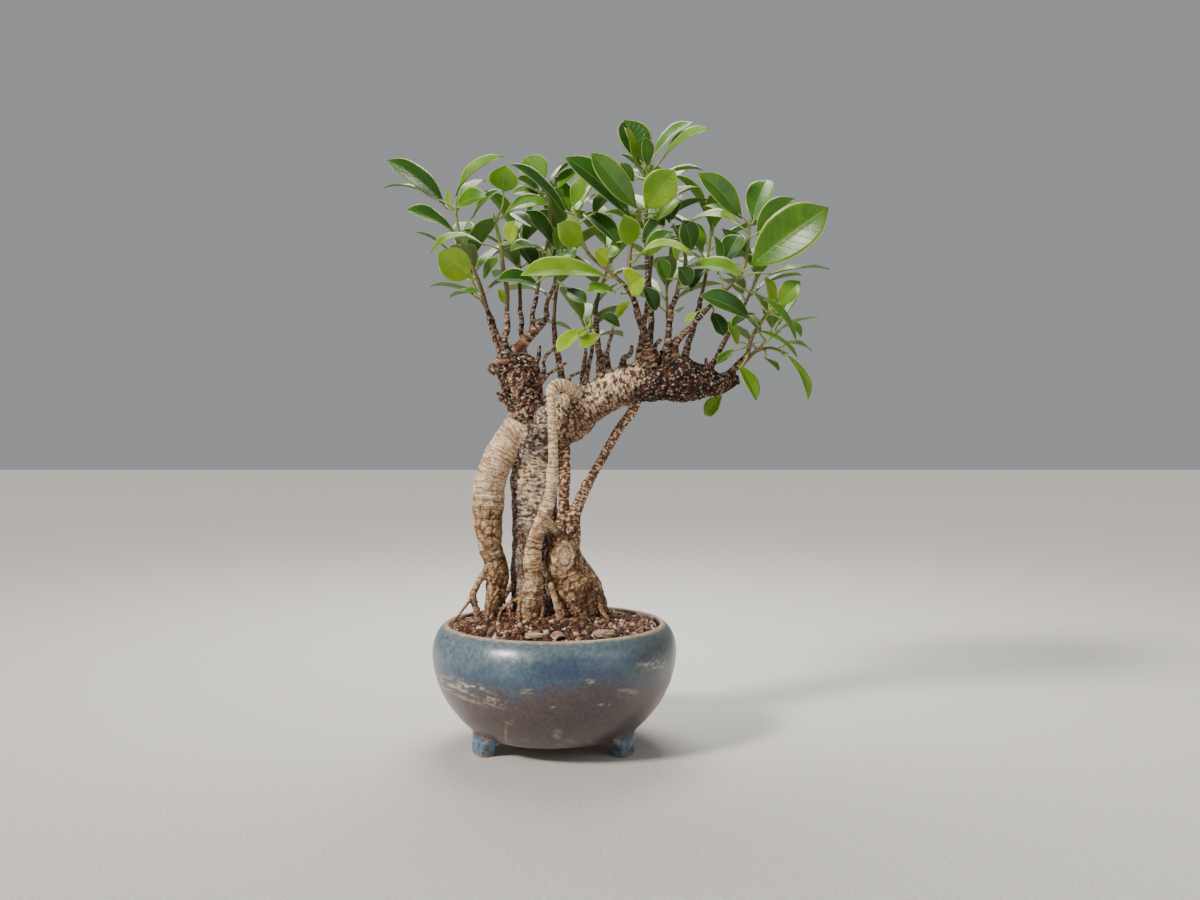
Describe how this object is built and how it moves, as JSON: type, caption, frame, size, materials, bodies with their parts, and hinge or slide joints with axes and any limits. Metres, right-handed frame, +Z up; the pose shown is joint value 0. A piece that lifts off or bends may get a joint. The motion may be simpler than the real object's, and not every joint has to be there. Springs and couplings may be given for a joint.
{
  "type": "bonsai tree in a pot",
  "caption": "A small fig bonsai with thick aerial roots and glossy leaves, growing in a round blue-grey glazed pot that stands on bracket feet.",
  "frame": {"origin": "the middle of the whole plant's footprint, on the plane that the pot's feet stand on", "axes": "+Z up along the trunk; +X to the right of the front, the way the long limb reaches; +Y to the back. The front is the side with the thin aerial root that stands before the trunk"},
  "size_m": [0.295, 0.1764, 0.4135],
  "materials": {
    "pot_glaze": "mottled blue-grey glaze, worn tan at the lip and bare clay under the feet",
    "net_plastic": "black plastic net",
    "soil_grit": "dry fired-clay granules, red-brown, tan and off-white",
    "chip_bark": "dry bark",
    "bark": "grey-tan bark, ringed on the roots and dark and cracked on the limb",
    "leaf": "glossy leathery leaf with a pale midrib and edge"
  },
  "bodies": {
    "root": {"pot": "pot_glaze", "drain_net": "net_plastic", "soil": "soil_grit", "bark_chip": "chip_bark", "bark_curl": "chip_bark", "pebble": "soil_grit", "trunk_and_roots": "bark", "leaf_under_limb": "leaf", "shoot_apex": "leaf", "shoot_back_crown": "leaf", "shoot_back_far_right": "leaf", "shoot_back_left": "leaf", "shoot_back_left_low": "leaf", "shoot_back_low": "leaf", "shoot_back_mid": "leaf", "shoot_back_mid_left": "leaf", "shoot_back_mid_low": "leaf", "shoot_back_right": "leaf", "shoot_back_right_low": "leaf", "shoot_crown_centre": "leaf", "shoot_crown_left": "leaf", "shoot_crown_mid": "leaf", "shoot_left_inner": "leaf", "shoot_left_tip": "leaf", "shoot_low_centre": "leaf", "shoot_low_left": "leaf", "shoot_low_mid": "leaf", "shoot_right_crown": "leaf", "shoot_right_hanging": "leaf", "shoot_right_inner": "leaf", "shoot_right_low": "leaf"}
  },
  "joints": []
}
